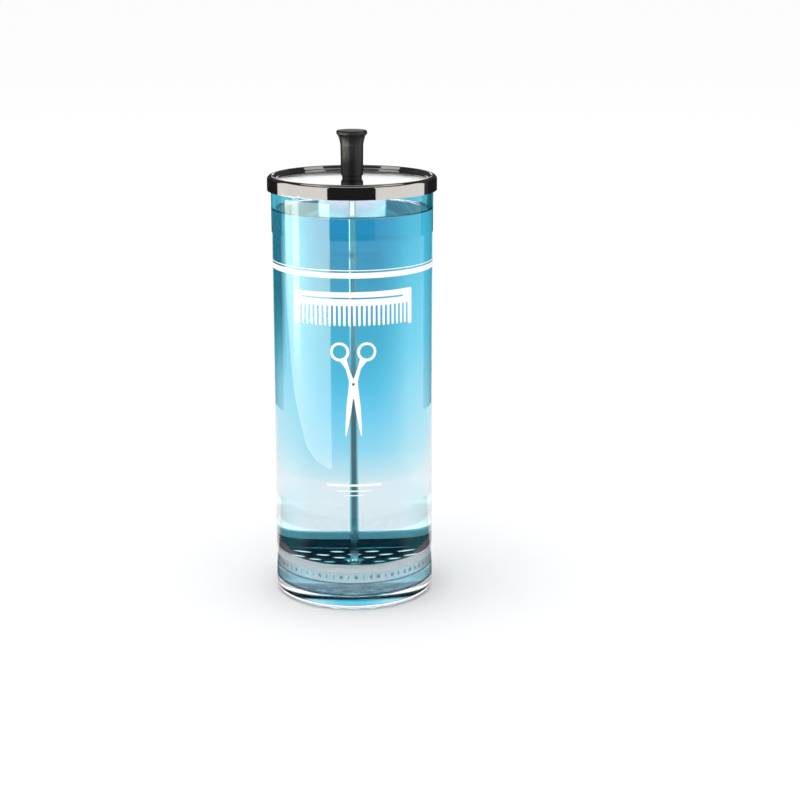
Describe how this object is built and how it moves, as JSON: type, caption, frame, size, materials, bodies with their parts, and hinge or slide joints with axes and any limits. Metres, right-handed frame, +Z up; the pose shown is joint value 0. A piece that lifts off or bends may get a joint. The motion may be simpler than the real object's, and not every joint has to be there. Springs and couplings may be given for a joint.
{
  "type": "disinfectant jar",
  "caption": "Tall clear cylindrical jar for soaking salon tools, with a mirror-finished cap lid and a perforated tray lifted by a knobbed rod that slides through the lid.",
  "frame": {"origin": "centre of the jar's underside, on the surface it stands on", "axes": "+Z up along the jar's axis and the lift rod; +X and +Y are equal, because the jar is round"},
  "size_m": [0.1062, 0.1062, 0.2975],
  "materials": {
    "clear_jar": "clear moulded polycarbonate, polished",
    "polished_lid": "mirror-polished pressed stainless steel",
    "liner": "soft white sealing ring",
    "nylon": "black nylon",
    "spring_steel": "stamped spring steel",
    "stainless": "bright stainless steel",
    "black_knob": "black moulded plastic with a faint grain",
    "brass": "turned brass",
    "tray_steel": "pressed stainless sheet, satin rim",
    "white_ring": "white moulded edging",
    "solution": "clear blue disinfectant solution",
    "print_ink": "white screen print"
  },
  "bodies": {
    "jar": {"jar_body": "clear_jar"},
    "lid": {"lid_shell": "polished_lid", "lid_liner": "liner"},
    "bushing": {"rod_bushing": "nylon", "bushing_clip": "spring_steel"},
    "lift": {"lift_rod": "stainless", "knob_grip": "black_knob", "knob_insert": "brass", "knob_washer": "black_knob", "tray": "tray_steel", "tray_rim_ring": "white_ring", "tray_washer_upper": "stainless", "tray_washer_lower": "stainless", "tray_nut": "stainless", "tray_cap_nut": "stainless"}
  },
  "joints": [
    {"name": "lid_lift", "type": "slide", "parent": "jar", "child": "lid", "axis": [0, 0, 1], "range_m": [0, 0.262]},
    {"name": "knob_turn", "type": "hinge", "parent": "lid", "child": "bushing", "pos_m": [0, 0, 0.268], "axis": [0, 0, 1], "continuous": true},
    {"name": "rod_slide", "type": "slide", "parent": "bushing", "child": "lift", "axis": [0, 0, 1], "range_m": [0, 0.2348]}
  ]
}
